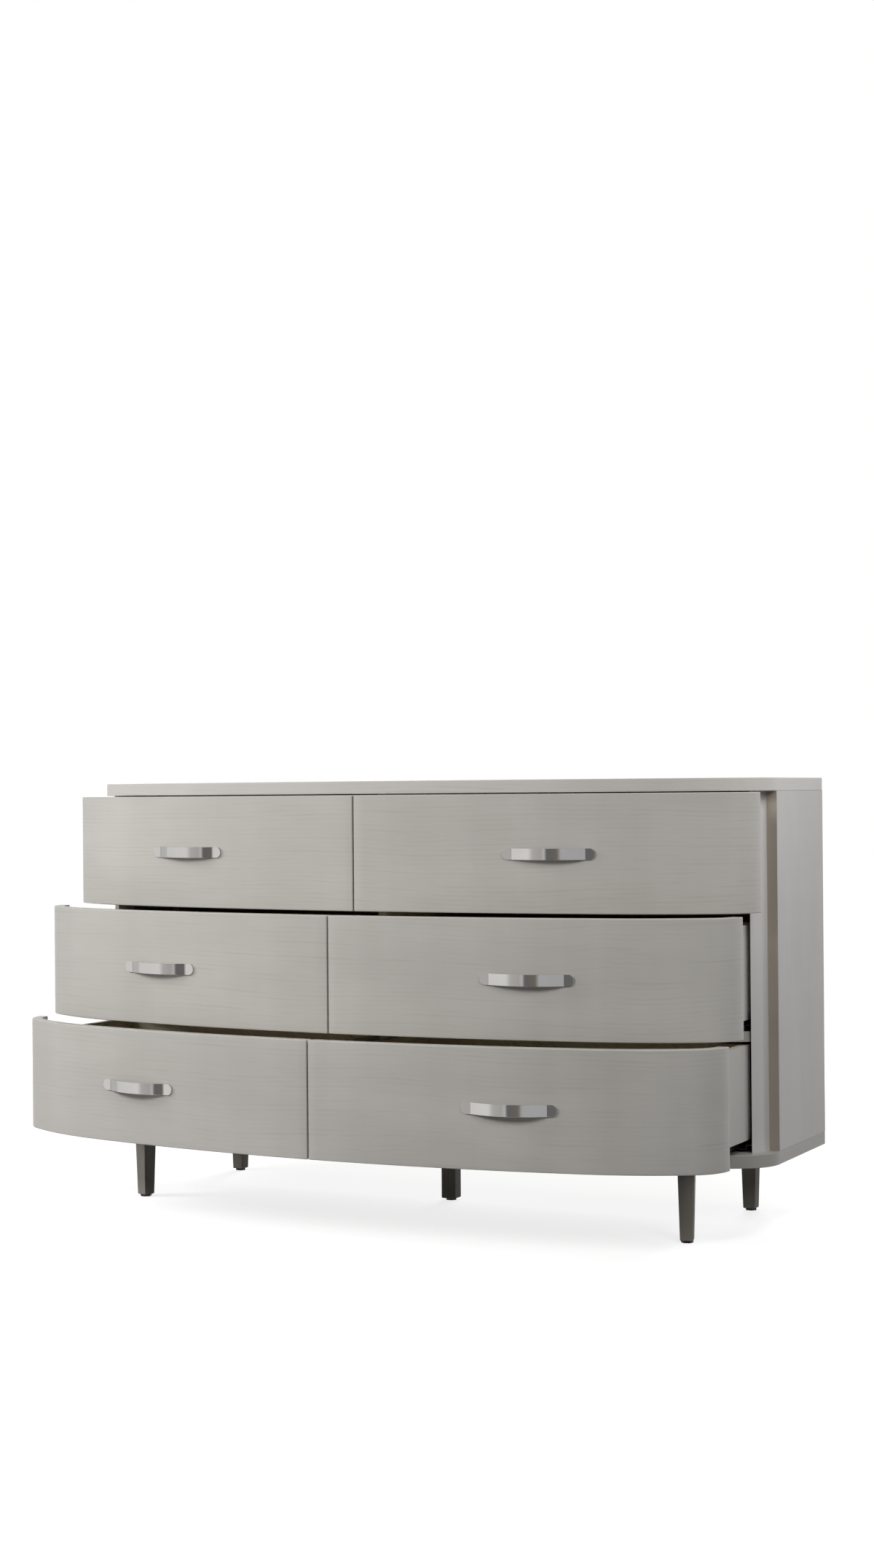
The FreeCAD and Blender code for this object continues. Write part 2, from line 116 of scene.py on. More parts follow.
def roundedLoop(halfA, halfB, radii, hold):
    # Closed loop of a rectangle with rounded corners: quarter circles, each with a point
    # before and after it on the straight sides so that the flats shade flat.
    parts = []
    for corner, radius in enumerate(radii):
        angle = corner * math.pi / 2 + quarterTurn
        signA = 1 if corner in (0, 3) else -1
        signB = 1 if corner in (0, 1) else -1
        centre = np.array([signA * (halfA - radius), signB * (halfB - radius)])
        arc = centre + radius * np.stack([np.cos(angle), np.sin(angle)], -1)
        inward = np.array([-math.sin(angle[0]), math.cos(angle[0])])
        onward = np.array([-math.sin(angle[-1]), math.cos(angle[-1])])
        parts += [arc[:1] - hold * inward, arc, arc[-1:] + hold * onward]
    return np.concatenate(parts)


def endEase(radius):
    # Rounding of an end: how far each ring is from the end, and how much smaller it is.
    return radius * (1 - np.cos(quarterTurn)), radius * (1 - np.sin(quarterTurn))


def atHeight(loop, height):
    # A flat loop of X and Y with the same Z at every point.
    return np.column_stack([loop, np.full(len(loop), height)])


def turnedFlat(rings, angle):
    # Turned about the upright axis, anticlockwise from above.
    cosine, sine = math.cos(angle), math.sin(angle)
    return rings @ np.array([[cosine, sine, 0], [-sine, cosine, 0], [0, 0, 1]])


def onSide(rings, sign, y):
    # Mirrored where sign is -1, and moved along Y.
    return rings * np.array([sign, 1, 1]) + np.array([0, y, 0])


def ringFaces(rings, start):
    # Quads between neighbouring rings and one face over each end ring. The signed volume under
    # the quads, seen from the middle, says whether they face outwards; if not, all are reversed.
    ringCount, pointCount = rings.shape[:2]
    i = np.arange(ringCount - 1)[:, None] * pointCount
    j = np.arange(pointCount)[None, :]
    k = (j + 1) % pointCount
    quads = np.stack([i + j, i + k, i + pointCount + k, i + pointCount + j], -1).reshape(-1, 4)
    lastRing = (ringCount - 1) * pointCount
    caps = np.stack([np.arange(pointCount)[::-1], np.arange(pointCount) + lastRing])
    points = rings.reshape(-1, 3) - rings.reshape(-1, 3).mean(0)
    a, b, c, d = points[quads].transpose(1, 0, 2)
    volume = (np.cross(a, b) * c).sum() + (np.cross(a, c) * d).sum()
    if volume < 0:
        quads, caps = quads[:, ::-1], caps[:, ::-1]
    return (quads + start).tolist() + (caps + start).tolist()


def addObject(name, data):
    # An object at the origin, linked to the scene.
    added = bpy.data.objects.new(name, data)
    bpy.context.scene.collection.objects.link(added)
    return added


def meshFromRings(name, ringSets, sharpAngle=50):
    # One mesh of closed shells, each an array of rings (ring, point, xyz).
    points = np.concatenate([rings.reshape(-1, 3) for rings in ringSets])
    starts = np.cumsum([0] + [rings.shape[0] * rings.shape[1] for rings in ringSets])
    faces = sum([ringFaces(rings, start) for rings, start in zip(ringSets, starts)], [])
    mesh = bpy.data.meshes.new(name)
    mesh.from_pydata(points.tolist(), [], faces)
    mesh.polygons.foreach_set("use_smooth", np.ones(len(mesh.polygons), bool))
    mesh.set_sharp_from_angle(angle=math.radians(sharpAngle))
    mesh.update()
    return addObject(name, mesh)


def placePiece(piece, body, material, replaced=()):
    piece.data.materials.append(material)
    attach(piece, body)
    if replaced:
        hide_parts(*replaced)


# Shader maths: a Wire is a socket, and sums, differences and products of wires add Math nodes.


class Wire:
    def __init__(self, tree, socket=None):
        self.tree = tree
        self.socket = socket

    def node(self, kind, settings=None, values=None, out=0):
        added = self.tree.nodes.new(kind)
        for name, value in (settings or {}).items():
            if name == "stops":
                setStops(added.color_ramp, value)
            else:
                setattr(added, name, value)
        for name, value in (values or {}).items():
            if isinstance(value, Wire):
                self.tree.links.new(value.socket, added.inputs[name])
            else:
                added.inputs[name].default_value = value
        return Wire(self.tree, added.outputs[out]) if added.outputs else None

    def output(self, name):
        # Another output of the node that this wire comes from.
        return Wire(self.tree, self.socket.node.outputs[name])

    def maths(self, operation, first, second=0.0):
        return self.node("ShaderNodeMath", {"operation": operation}, {0: first, 1: second})

    def __add__(self, other):
        return self.maths("ADD", self, other)

    def __radd__(self, other):
        return self.maths("ADD", other, self)

    def __sub__(self, other):
        return self.maths("SUBTRACT", self, other)

    def __rsub__(self, other):
        return self.maths("SUBTRACT", other, self)

    def __mul__(self, other):
        return self.maths("MULTIPLY", self, other)

    def __rmul__(self, other):
        return self.maths("MULTIPLY", other, self)


def setStops(ramp, stops):
    while len(ramp.elements) > 1:
        ramp.elements.remove(ramp.elements[-1])
    for index, (place, colour) in enumerate(stops):
        stop = ramp.elements[0] if index == 0 else ramp.elements.new(place)
        stop.position = place
        stop.color = colour


def linear(red, green, blue):
    # Screen colour of 0 to 255 turned to linear light.
    share = np.array([red, green, blue]) / 255
    light = np.where(share <= 0.04045, share / 12.92, ((share + 0.055) / 1.055) ** 2.4)
    return (*light.tolist(), 1.0)


def newMaterial(name):
    material = bpy.data.materials.new(name)
    material.use_nodes = True
    material.node_tree.nodes.clear()
    return material, Wire(material.node_tree)


def finishMaterial(start, **sockets):
    # The shader with its settings: a wire is linked and a plain value is set on the socket.
    values = {name.replace("_", " "): value for name, value in sockets.items()}
    shader = start.node("ShaderNodeBsdfPrincipled", {}, values)
    start.node("ShaderNodeOutputMaterial", {}, {"Surface": shader})


def objectPosition(start):
    return start.node("ShaderNodeTexCoord", out="Object")


def splitAxes(start, position):
    parts = start.node("ShaderNodeSeparateXYZ", {}, {"Vector": position})
    return [parts.output(index) for index in range(3)]


def stretched(start, position, scale):
    return start.node("ShaderNodeMapping", {}, {"Vector": position, "Scale": scale})


def noise(start, position, scale=1.0, detail=2.0, roughness=0.5):
    return start.node("ShaderNodeTexNoise", {}, {"Vector": position, "Scale": scale,
                                                 "Detail": detail, "Roughness": roughness})


def grainNoise(start, along, across, scales, seed, detail=2.0, roughness=0.5):
    # Noise drawn out along the grain: scales are per metre along it and across it.
    place = start.node("ShaderNodeCombineXYZ", {}, {"X": along * scales[0],
                                                    "Y": across * scales[1], "Z": seed})
    return noise(start, place, 1.0, detail, roughness)


def ramp(start, value, fade):
    # 0 below the fade's first value and 1 above its second, with a soft step between.
    return start.node("ShaderNodeMapRange", {"interpolation_type": "SMOOTHSTEP"},
                      {"Value": value, "From Min": fade[0], "From Max": fade[1]})


def mixColour(start, share, first, second):
    # Sockets 6 and 7 and output 2 are the Mix node's colours.
    return start.node("ShaderNodeMix", {"data_type": "RGBA"},
                      {0: share, 6: first, 7: second}, out=2)


def varied(middle, wire, amount):
    # A value that swings by amount around its middle as the noise does.
    return middle + (wire - 0.5) * amount


def bump(start, height, relief):
    # relief is the bump's strength and its depth in metres.
    return start.node("ShaderNodeBump", {}, {"Height": height, "Strength": relief[0],
                                             "Distance": relief[1]})


# Washed wood: pale grey stain over fine wavy growth lines, under clear lacquer

washedWood = {
    "paleTone": linear(196, 193, 187),
    "greyTone": linear(186, 183, 177),
    "lineTone": linear(148, 139, 127),
    "lineSpacing": 8.5 * mm,
    "fineSpacing": 2.9 * mm,
    "sway": 26.0 * mm,
    "figure": 24.0 * mm,
    "lineStrength": 0.22,
    "fineStrength": 0.14,
    "fibreStrength": 0.10,
    "roughness": 0.4,
    "lacquer": 0.6,
    "lacquerRoughness": 0.07,
    "gloss": 0.5,
}

# The pattern that all the washed wood shares. Scales are per metre along and across the
# grain, and a fade is the pair of noise values between which a part comes in.
woodPattern = {
    "lean": 0.62,  # how far a step in depth counts along the grain
    "uprightLean": 0.83,
    "swayScale": (1.6, 2.6),
    "waveScale": (10.0, 5.0),
    "figureScale": (3.6, 1.4),
    "figureFade": (0.52, 0.7),
    "figureShare": 0.85,
    "plainShare": 0.15,
    "fineStretch": 1.9,
    "lineFade": (0.03, 0.3),
    "dashScale": (8, 3.7),
    "dashFade": (0.34, 0.7),
    "evenness": 0.25,
    "fibreScale": (14, 1500),
    "patchStretch": (1.2, 1.2, 4.0),
    "uprightPatchStretch": (4.0, 4.0, 1.0),
    "patchScale": 1.6,
    "patchFade": (0.35, 0.65),
    "patchShare": 0.7,
    "ribbonScale": (7, 0.7),
    "ribbonFade": (0.38, 0.62),
    "ribbonShare": 0.3,
    "roughnessSwing": 0.1,
    "fibreHeight": 0.3,
    "lineDepth": 0.7,
    "relief": (0.1, 0.12 * mm),
    "edgeMargin": 0.5 * mm,
}


def growthLines(start, along, across, spacing, seed):
    # Dark thin lines at even phases of the bent height, each line with its own strength and
    # broken into dashes along the grain.
    look = woodPattern
    phase = across * (1 / spacing)
    inside = start.maths("ABSOLUTE", start.maths("FRACT", phase) - 0.5)
    line = 1 - ramp(start, inside, look["lineFade"])
    cell = start.maths("FLOOR", phase)
    own = start.node("ShaderNodeTexWhiteNoise", {"noise_dimensions": "1D"}, {"W": cell + seed})
    dash = grainNoise(start, along, cell, look["dashScale"], seed)
    strength = own * (1 - look["evenness"]) + look["evenness"]
    return line * strength * ramp(start, dash, look["dashFade"])


def woodMaterial(name, tones, upright=False, seed=0.0, edgeAt=None, flatAt=None):
    # edgeAt is the Y in front of which the stained edge shows, darkened with painted shade.
    # flatAt is the lowest and the highest Z between which a slab's edge has its lines by height;
    # its faces have them by depth.
    look = woodPattern
    material, start = newMaterial(name)
    position = objectPosition(start)
    x, y, z = splitAxes(start, position)
    along, across = x + y * look["lean"], z
    patchStretch = look["patchStretch"]
    if upright:
        along, across = z, x + y * look["uprightLean"]
        patchStretch = look["uprightPatchStretch"]
    if flatAt is not None:
        lying = start.maths("LESS_THAN", z, flatAt[0]) + start.maths("GREATER_THAN", z, flatAt[1])
        across = z + lying * (y - z)

    sway = grainNoise(start, along, across, look["swayScale"], seed, 1.0) - 0.5
    waves = grainNoise(start, along, across, look["waveScale"], seed + 2, 2.0, 0.45) - 0.5
    figured = grainNoise(start, along, across, look["figureScale"], seed + 5)
    figured = ramp(start, figured, look["figureFade"]) * look["figureShare"] + look["plainShare"]
    bent = across + sway * tones["sway"] * 2 + waves * figured * tones["figure"]

    lines = growthLines(start, along, bent, tones["lineSpacing"], seed)
    fineLines = growthLines(start, along * look["fineStretch"], bent, tones["fineSpacing"],
                            seed + 20)
    fibre = grainNoise(start, along, bent, look["fibreScale"], seed + 11, 3.0, 0.6)
    patches = noise(start, stretched(start, position, patchStretch), look["patchScale"], 3.0)
    ribbons = grainNoise(start, along, across, look["ribbonScale"], seed + 30, 3.0, 0.6)
    worn = lines * tones["lineStrength"] + fineLines * tones["fineStrength"]
    worn = worn + (fibre - 0.5) * tones["fibreStrength"]
    grey = ramp(start, patches, look["patchFade"]) * look["patchShare"]
    grey = grey + ramp(start, ribbons, look["ribbonFade"]) * look["ribbonShare"]

    tone = mixColour(start, grey, tones["paleTone"], tones["greyTone"])
    tone = mixColour(start, start.maths("MAXIMUM", worn, 0.0), tone, tones["lineTone"])
    # The stained front edge, darkened with painted shade.
    if edgeAt is not None:
        stainedShadedEdge = mixColour(start, fibre, tones["edgeStainShadeTone"], tones["edgeStainShadeLine"])
        tone = mixColour(start, start.maths("LESS_THAN", y, edgeAt), tone, stainedShadedEdge)
    rough = varied(tones["roughness"], fibre, look["roughnessSwing"])
    rough = varied(rough, patches, look["roughnessSwing"])
    height = fibre * look["fibreHeight"] - lines * look["lineDepth"]
    finishMaterial(start, Base_Color=tone, Roughness=rough,
                   Normal=bump(start, height, look["relief"]),
                   Coat_Weight=tones["lacquer"], Coat_Roughness=tones["lacquerRoughness"],
                   Specular_IOR_Level=tones["gloss"])
    return material


# The upright boards' lighter copy of the washed wood: painted light, for the extra light that
# falls on the side panel.
uprightTonesPaintedLight = {
    **washedWood,
    "paleTone": linear(201, 198, 194),
    "greyTone": linear(192, 189, 185),
    "lineStrength": 0.12,
    "fineStrength": 0.08,
}

# The side panel: its front edge is brown stain, made darker as painted shade for the shade of the
# open drawer fronts.
sideTones = {
    **uprightTonesPaintedLight,
    "edgeStainShadeTone": linear(186, 176, 163),
    "edgeStainShadeLine": linear(168, 156, 143),
    "lacquer": 0.42,
    "edgeDepth": 0.4 * mm,  # how far behind the bow's corner the stained edge with painted shade starts
}

# The corner post's lighter copy of the upright wood: painted light, for the side light that falls
# on it.
postTonesPaintedLight = {
    **uprightTonesPaintedLight,
    "paleTone": linear(216, 215, 213),
    "greyTone": linear(210, 209, 206),
    "lineStrength": 0.06,
}

# The top slab's lighter copy of the washed wood: painted light on its lit edges.
topTonesPaintedLight = {
    **washedWood,
    "paleTone": linear(208, 205, 200),
    "greyTone": linear(200, 197, 192),
    "lineStrength": 0.2,
}

# The bottom slab's and the rail's darker copy of the washed wood: painted shade, for the shade
# under the open drawers.
baseTonesPaintedShade = {
    **washedWood,
    "paleTone": linear(183, 180, 174),
    "greyTone": linear(174, 171, 165),
    "lineStrength": 0.2,
    "lacquer": 0.3,
}

# The legs' darker copy of the washed wood: painted shade, for the shade under the case.
legTonesPaintedShade = {
    **washedWood,
    "paleTone": linear(185, 180, 172),
    "greyTone": linear(170, 165, 157),
    "lineTone": linear(126, 119, 109),
    "lineStrength": 0.2,
    "lacquer": 0.1,
    "roughness": 0.55,
    "gloss": 0.2,
}


def edgeRange(low, high):
    # The heights between a slab's faces, clear of them by a margin.
    return low.z + woodPattern["edgeMargin"], high.z - woodPattern["edgeMargin"]


frontWood = woodMaterial("washedWoodAcross", washedWood)
sideWood = woodMaterial("washedWoodSide", sideTones, upright=True, seed=4.0,
                        edgeAt=cornerY + sideTones["edgeDepth"])
postWood = woodMaterial("washedWoodPostPaintedLight", postTonesPaintedLight, upright=True, seed=6.0)
topWood = woodMaterial("washedWoodTopPaintedLight", topTonesPaintedLight, seed=9.0, flatAt=edgeRange(slabLow, slabHigh))
baseWood = woodMaterial("washedWoodBasePaintedShade", baseTonesPaintedShade, seed=12.0,
                        flatAt=edgeRange(baseLow, baseHigh))
railWood = woodMaterial("washedWoodRailPaintedShade", baseTonesPaintedShade, seed=14.0)
legWoodPaintedShade = woodMaterial("legWoodPaintedShade", legTonesPaintedShade, upright=True, seed=15.0)


# Stained inner boards, and the box sides that are painted outside and stained inside

innerWoodLook = {
    "light": linear(222, 212, 193),
    "dark": linear(206, 194, 173),
    "line": linear(180, 164, 140),
    "grainScale": (4.0, 160.0),
    "patchScale": 6.0,
    "lineFade": (0.5, 0.72),
    "lineShare": 0.6,
    "roughness": 0.55,
    "roughnessSwing": 0.2,
    "relief": (0.25, 0.2 * mm),
}

paintedSide = {
    "paint": linear(219, 217, 213),
    "nearFace": 20.9 * mm,  # distances from the middle of the case to the boxes' outer faces
    "farFace": 699.6 * mm,
    "mottleScale": 90.0,
    "mottle": 0.12,
    "roughness": 0.5,
    "roughnessSwing": 0.15,
    "relief": (0.2, 0.15 * mm),
}


def stainedColour(start, position, turned):
    look = innerWoodLook
    x, y, z = splitAxes(start, position)
    along, across = (y, x + z) if turned else (x, y + z)
    grain = grainNoise(start, along, across, look["grainScale"], 0.0, 3.0, 0.6)
    patches = noise(start, position, look["patchScale"])
    tone = mixColour(start, patches, look["light"], look["dark"])
    lines = ramp(start, grain, look["lineFade"]) * look["lineShare"]
    return mixColour(start, lines, tone, look["line"]), grain


def innerMaterial(name, turned=False):
    look = innerWoodLook
    material, start = newMaterial(name)
    tone, grain = stainedColour(start, objectPosition(start), turned)
    finishMaterial(start, Base_Color=tone,
                   Roughness=varied(look["roughness"], grain, look["roughnessSwing"]),
                   Normal=bump(start, grain, look["relief"]))
    return material


def boxMaterial():
    look = paintedSide
    material, start = newMaterial("drawerBoxWood")
    position = objectPosition(start)
    tone, grain = stainedColour(start, position, True)
    reach = start.maths("ABSOLUTE", splitAxes(start, position)[0])
    outside = start.maths("GREATER_THAN", reach, look["farFace"])
    outside = outside + start.maths("LESS_THAN", reach, look["nearFace"])
    mottle = noise(start, position, look["mottleScale"], 3.0) * look["mottle"]
    paint = mixColour(start, mottle, look["paint"], innerWoodLook["light"])
    finishMaterial(start, Base_Color=mixColour(start, outside, tone, paint),
                   Roughness=varied(look["roughness"], grain, look["roughnessSwing"]),
                   Normal=bump(start, grain, look["relief"]))
    return material


innerWood = innerMaterial("innerWood")
floorWood = innerMaterial("drawerFloorWood", turned=True)
boxWood = boxMaterial()


# Hardboard of the back panel

backBoardLook = {
    "base": linear(132, 114, 90),
    "fleck": linear(98, 80, 60),
    "pale": linear(160, 143, 118),
    "fibreScale": 700.0,
    "fleckScale": 260.0,
    "fleckFade": (0.58, 0.7),
    "fleckShare": 0.55,
    "cloudScale": 5.0,
    "cloudShare": 0.6,
    "roughness": 0.62,
    "roughnessSwing": 0.3,
    "relief": (0.35, 0.2 * mm),
}


def backBoardMaterial():
    look = backBoardLook
    material, start = newMaterial("backBoard")
    position = objectPosition(start)
    fibres = noise(start, position, look["fibreScale"], 3.0, 0.65)
    flecks = ramp(start, noise(start, position, look["fleckScale"]), look["fleckFade"])
    cloud = noise(start, position, look["cloudScale"])
    tone = mixColour(start, cloud * look["cloudShare"], look["base"], look["pale"])
    tone = mixColour(start, flecks * look["fleckShare"], tone, look["fleck"])
    finishMaterial(start, Base_Color=tone,
                   Roughness=varied(look["roughness"], fibres, look["roughnessSwing"]),
                   Normal=bump(start, fibres, look["relief"]))
    return material


backBoard = backBoardMaterial()


# Metals and plastic

nickelLook = {
    "tone": linear(218, 217, 215),
    "shade": linear(196, 195, 193),
    "hazeScale": 24.0,
    "hazeShare": 0.5,
    "polishStretch": (60, 60, 2600),
    "roughness": 0.1,
    "hazeSwing": 0.06,
    "polishSwing": 0.04,
    "relief": (0.04, 0.02 * mm),
}

blackSteelLook = {
    "tone": linear(26, 26, 27),
    "dust": linear(62, 61, 60),
    "roughness": 0.38,
    "metallic": 0.0,
    "speckScale": 420.0,
    "dustScale": 30.0,
    "dustFade": (0.5, 0.8),
    "dustShare": 0.4,
    "roughnessSwing": 0.2,
    "relief": (0.15, 0.05 * mm),
}

blackPlasticLook = {
    **blackSteelLook,
    "tone": linear(24, 24, 25),
    "dust": linear(48, 47, 46),
    "roughness": 0.55,
}

zincSteelLook = {
    **blackSteelLook,
    "tone": linear(188, 188, 190),
    "dust": linear(150, 149, 148),
    "roughness": 0.3,
    "metallic": 1.0,
}


def nickelMaterial():
    look = nickelLook
    material, start = newMaterial("polishedNickel")
    position = objectPosition(start)
    haze = noise(start, position, look["hazeScale"], 3.0)
    polish = noise(start, stretched(start, position, look["polishStretch"]))
    tone = mixColour(start, haze * look["hazeShare"], look["tone"], look["shade"])
    rough = varied(look["roughness"], haze, look["hazeSwing"])
    rough = varied(rough, polish, look["polishSwing"])
    finishMaterial(start, Base_Color=tone, Roughness=rough, Metallic=1.0,
                   Normal=bump(start, polish, look["relief"]))
    return material


def coatedMaterial(name, look):
    material, start = newMaterial(name)
    position = objectPosition(start)
    specks = noise(start, position, look["speckScale"], 3.0)
    dust = ramp(start, noise(start, position, look["dustScale"], 4.0, 0.6), look["dustFade"])
    tone = mixColour(start, dust * look["dustShare"], look["tone"], look["dust"])
    finishMaterial(start, Base_Color=tone, Metallic=look["metallic"],
                   Roughness=varied(look["roughness"], specks, look["roughnessSwing"]),
                   Normal=bump(start, specks, look["relief"]))
    return material


nickel = nickelMaterial()
blackSteel = coatedMaterial("blackSteel", blackSteelLook)
blackPlastic = coatedMaterial("blackPlastic", blackPlasticLook)
zincSteel = coatedMaterial("zincSteel", zincSteelLook)
print("materials made")


# Drawer fronts: a rounded board section carried along the bow

drawerFront = {
    "thickness": 20.0 * mm,
    "outerEase": 1.7 * mm,
    "innerEase": 0.8 * mm,
    "leastEase": 0.05 * mm,
    "hold": 1.2 * mm,
    # How much higher than the solid each row's top edge is, after the photograph's gaps.
    "topLift": {"bottom": -1.0 * mm, "middle": 0.4 * mm, "top": 1.0 * mm},
}


def frontSection(halfHigh, shrink):
    # The board's section, smaller by shrink all round: a rectangle with two outer and two
    # inner edges rounded.
    look = drawerFront
    half = look["thickness"] / 2 - shrink
    outer = max(look["outerEase"] - shrink, look["leastEase"])
    inner = max(look["innerEase"] - shrink, look["leastEase"])
    return roundedLoop(half, halfHigh - shrink, (outer, inner, inner, outer), look["hold"])


def frontRings(first, last, low, high):
    # Sections across the bow from one turn to another: a ring's point is the outline's, moved
    # in by the section's depth, and its Z is the section's height.
    away, smaller = endEase(drawerFront["outerEase"])
    startTurns = first + away / radiusAt(first)
    endTurns = last - away / radiusAt(last)
    inside = bowTurns(first, last)
    inside = inside[(inside > startTurns[-1]) & (inside < endTurns[-1])]
    turns = np.concatenate([startTurns, inside, endTurns[::-1]])
    shrinks = np.concatenate([smaller, np.zeros(len(inside)), smaller[::-1]])
    loops = np.stack([frontSection((high - low) / 2, shrink) for shrink in shrinks])
    plan = bowPoints(drawerFront["thickness"] / 2 - loops[..., 0], turns[:, None])
    heights = (low + high) / 2 + loops[..., 1]
    return np.concatenate([plan, heights[..., None]], -1)


for row, side, sign in drawers:
    node = f"{row}_{side}_front"
    low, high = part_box(node)
    high.z += drawerFront["topLift"][row]
    innerTurn = bowTurn(min(abs(low.x), abs(high.x)))
    pastCorner = high.y - low.y - (cornerY - frontY)
    outerTurn = math.pi / 2 + pastCorner / arcRadii[2]
    rings = frontRings(innerTurn, outerTurn, low.z, high.z)
    piece = meshFromRings(f"{row}_{side}_front_board", [onSide(rings, sign, low.y - frontY)])
    placePiece(piece, f"{row}_{side}_drawer", frontWood, [node])
print("drawer fronts made")


# Slabs: the outline at growing insets, stacked by height

slabLook = {
    "ease": 1.1 * mm,
    "cornerRound": 2.0 * mm,
    "hold": 1.5 * mm,
    "bowHold": 2.0 * mm,  # the hold behind the bow's corner
}


def slabLoop(inset):
    # Half outline from the front middle round to the back middle, then its mirror image.
    front = bowPoints(inset, bowTurns(0.0, math.pi / 2))
    radius, hold = slabLook["cornerRound"], slabLook["hold"]
    sideX, rearY = halfWidth - inset, backY - inset
    arc = np.stack([np.cos(quarterTurn), np.sin(quarterTurn)], -1)
    corner = np.array([sideX - radius, rearY - radius]) + radius * arc
    holds = [[sideX, cornerY + slabLook["bowHold"]], [sideX, rearY - radius - hold]]
    rear = [[sideX - radius - hold, rearY]]
    half = np.concatenate([front, holds, corner, rear])
    other = half[::-1][:-1] * np.array([-1, 1])
    return np.concatenate([half, other])


def slabRings(low, high):
    # From the underside's flat round its edge to the side, then the same mirrored for the
    # top: each ring is the outline at an inset, a level up from the underside.
    past = slabLook["ease"] + slabLook["hold"]
    away, smaller = endEase(slabLook["ease"])
    loops = [slabLoop(inset) for inset in (past, *smaller, 0.0)]
    levels = (0.0, *away, past)
    under = [atHeight(loop, low + level) for loop, level in zip(loops, levels)]
    over = [atHeight(loop, high - level) for loop, level in zip(loops, levels)]
    return np.stack(under + over[::-1])


for node, wood in (("top_slab", topWood), ("bottom_slab", baseWood)):
    low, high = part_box(node)
    piece = meshFromRings(node + "_board", [slabRings(low.z, high.z)])
    placePiece(piece, "case", wood, [node])
print("slabs made")


# Pulls: a strap of even thickness bent over two foot arcs and a crown arc, with round ends

pullLook = {
    "fromCentreShare": 0.528,
    "length": 178.0 * mm,
    "width": 21.5 * mm,
    "thickness": 3.5 * mm,
    "archSpan": 146.0 * mm,
    "rise": 19.0 * mm,
    "footRadius": 16.0 * mm,
    "seat": 0.1 * mm,  # how far the tabs stand off the front
    "ease": 0.5 * mm,
    "easeShare": 0.8,  # the most of a half width or thickness that the ease may take
    "tipHalfWidth": 0.15 * mm,
    "hold": 1.0 * mm,
    "holdShare": 0.1,
    "crownSteps": 26,
    "footSteps": 18,
    "tabShares": (0.02, 0.5),  # where the tab's even steps start and end, as shares of it
    "tabSteps": 6,
    "tipSteps": 18,
}


def strapLine():
    # Middle of the strap's thickness from one end to the other, and the outward direction there:
    # flat tab, foot arc bending out, crown arc bending back, then the mirror image.
    look = pullLook
    bow = arcRadii[0]
    half, reach = look["archSpan"] / 2, look["length"] / 2
    lift = look["thickness"] / 2
    turn = 2 * math.atan(look["rise"] / half)
    seatY = bow - math.sqrt(bow ** 2 - half ** 2) - look["seat"]
    tabY = bow - math.sqrt(bow ** 2 - reach ** 2) - look["seat"]

    crownRadius = half / math.sin(turn) - look["footRadius"]
    crownY = seatY - look["rise"] + crownRadius
    crown = np.linspace(0, turn, look["crownSteps"])
    crownOut = np.stack([np.sin(crown), -np.cos(crown)], -1)
    crownAt = np.array([0, crownY]) + (crownRadius + lift) * crownOut

    foot = np.linspace(turn, 0, look["footSteps"])[1:]
    footOut = np.stack([np.sin(foot), -np.cos(foot)], -1)
    footAt = np.array([half, seatY - look["footRadius"]]) - (look["footRadius"] - lift) * footOut

    start, tipStart = look["tabShares"]
    tip = np.sin(np.linspace(0, math.pi / 2, look["tipSteps"])[1:])
    tab = np.concatenate([np.linspace(start, tipStart, look["tabSteps"]),
                          tipStart + (1 - tipStart) * tip])
    tabAt = np.stack([half + (reach - half) * tab, seatY - lift + (tabY - seatY) * tab], -1)
    tabOut = np.tile([0.0, -1.0], (len(tab), 1))

    at = np.concatenate([crownAt, footAt, tabAt])
    out = np.concatenate([crownOut, footOut, tabOut])
    flip = np.array([-1, 1])
    return np.concatenate([at[:0:-1] * flip, at]), np.concatenate([out[:0:-1] * flip, out])


def strapRings():
    # Each ring is a rounded rectangle across the strap; towards an end its width follows a
    # half circle and its thickness a small quarter circle.
    look = pullLook
    at, out = strapLine()
    fromEnd = look["length"] / 2 - np.abs(at[:, 0])
    radius = look["width"] / 2
    inCircle = np.clip(radius - fromEnd, 0, radius)
    halfWide = np.sqrt(np.clip(radius ** 2 - inCircle ** 2, look["tipHalfWidth"] ** 2, None))
    tip = np.clip(look["ease"] - fromEnd, 0, look["ease"])
    halfThick = look["thickness"] / 2 - look["ease"] + np.sqrt(look["ease"] ** 2 - tip ** 2)
    rings = []
    for place, outward, wide, thick in zip(at, out, halfWide, halfThick):
        ease = min(look["ease"], wide * look["easeShare"], thick * look["easeShare"])
        hold = min(look["hold"], wide * look["holdShare"])
        loop = roundedLoop(thick, wide, (ease,) * 4, hold)
        rings.append(np.column_stack([place + loop[:, :1] * outward, loop[:, 1]]))
    return np.stack(rings)


pullTurn = bowTurn(halfWidth * pullLook["fromCentreShare"])
pullSeat = bowPoints(0.0, pullTurn)
strap = turnedFlat(strapRings(), pullTurn)
for row, side, sign in drawers:
    low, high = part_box(f"{row}_{side}_front")
    rings = onSide(strap + np.array([*pullSeat, (low.z + high.z) / 2]), sign, low.y - frontY)
    piece = meshFromRings(f"{row}_{side}_pull_strap", [rings])
    placePiece(piece, f"{row}_{side}_drawer", nickel, [f"{row}_{side}_pull"])
print("pulls made")


# Legs: rounded square sections stacked from the floor to the slab

